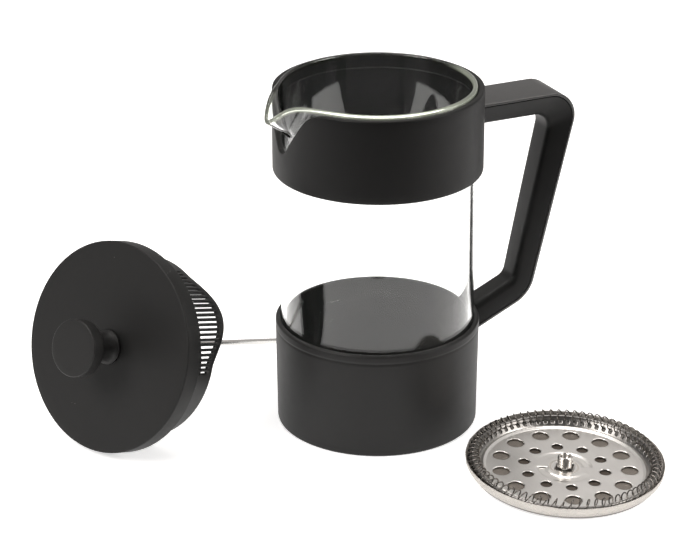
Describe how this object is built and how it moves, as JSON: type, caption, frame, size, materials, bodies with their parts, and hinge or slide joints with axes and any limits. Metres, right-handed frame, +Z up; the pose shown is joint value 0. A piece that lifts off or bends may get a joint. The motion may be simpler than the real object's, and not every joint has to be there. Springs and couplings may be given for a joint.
{
  "type": "french press",
  "caption": "Glass press jug in a black plastic frame with an angular handle, laid out with its strainer lid on a plunger rod and its steel spring filter.",
  "frame": {"origin": "centre of the base cup's standing ring on the table", "axes": "+Z up along the jug's axis, +X from the jug's axis towards the handle, spout towards -X"},
  "size_m": [0.2672, 0.2449, 0.178],
  "materials": {
    "black_cup": "fine moulded matt grain",
    "black_band": "fine moulded matt grain",
    "black_handle": "fine moulded matt grain",
    "black_strip": "fine moulded matt grain",
    "screw_steel": "plain stainless",
    "glass": "clear borosilicate",
    "black_lid": "fine moulded matt grain",
    "black_strainer": "fine moulded matt grain",
    "black_bush": "fine moulded matt grain",
    "rod_steel": "drawn rod",
    "black_knob": "fine moulded matt grain",
    "insert_brass": "turned",
    "hub_steel": "plain stainless",
    "cross_steel": "plain stainless",
    "gauze_steel": "woven wire",
    "plate_steel": "pressed and polished",
    "coil_steel": "drawn wire"
  },
  "bodies": {
    "frame": {"base_cup": "black_cup", "upper_band": "black_band", "handle_body": "black_handle", "handle_cover": "black_strip", "handle_screws": "screw_steel"},
    "beaker": {"glass_beaker": "glass", "glass_rim": "glass"},
    "lid": {"lid_cover": "black_lid", "lid_strainer": "black_strainer", "rod_bush": "black_bush"},
    "plunger": {"plunger_rod": "rod_steel"},
    "knob": {"knob_shell": "black_knob", "knob_insert": "insert_brass"},
    "filter": {"filter_hub": "hub_steel", "cross_plate": "cross_steel"},
    "gauze": {"filter_gauze": "gauze_steel"},
    "spring": {"spring_plate": "plate_steel", "coil_spring": "coil_steel"}
  },
  "joints": [
    {"name": "beaker_lift", "type": "slide", "parent": "frame", "child": "beaker", "axis": [0, 0, 1], "range_m": [0, 0.2]},
    {"name": "lid_lift", "type": "slide", "parent": "frame", "child": "lid", "axis": [0, 0, 1], "range_m": [0, 0.15]},
    {"name": "plunger_slide", "type": "slide", "parent": "lid", "child": "plunger", "axis": [-0.8619, -0.4019, 0.3093], "range_m": [0, 0.13]},
    {"name": "knob_turn", "type": "hinge", "parent": "plunger", "child": "knob", "pos_m": [-0.14189, 0.02278, 0.05524], "axis": [-0.8619, -0.4019, 0.3093], "continuous": true},
    {"name": "filter_lift", "type": "slide", "parent": "frame", "child": "filter", "axis": [0, 0, 1], "range_m": [0, 0.1]},
    {"name": "gauze_lift", "type": "slide", "parent": "filter", "child": "gauze", "axis": [0.0141, -0.0545, 0.9984], "range_m": [0, 0.02]},
    {"name": "spring_lift", "type": "slide", "parent": "gauze", "child": "spring", "axis": [0.0141, -0.0545, 0.9984], "range_m": [0, 0.02]}
  ]
}
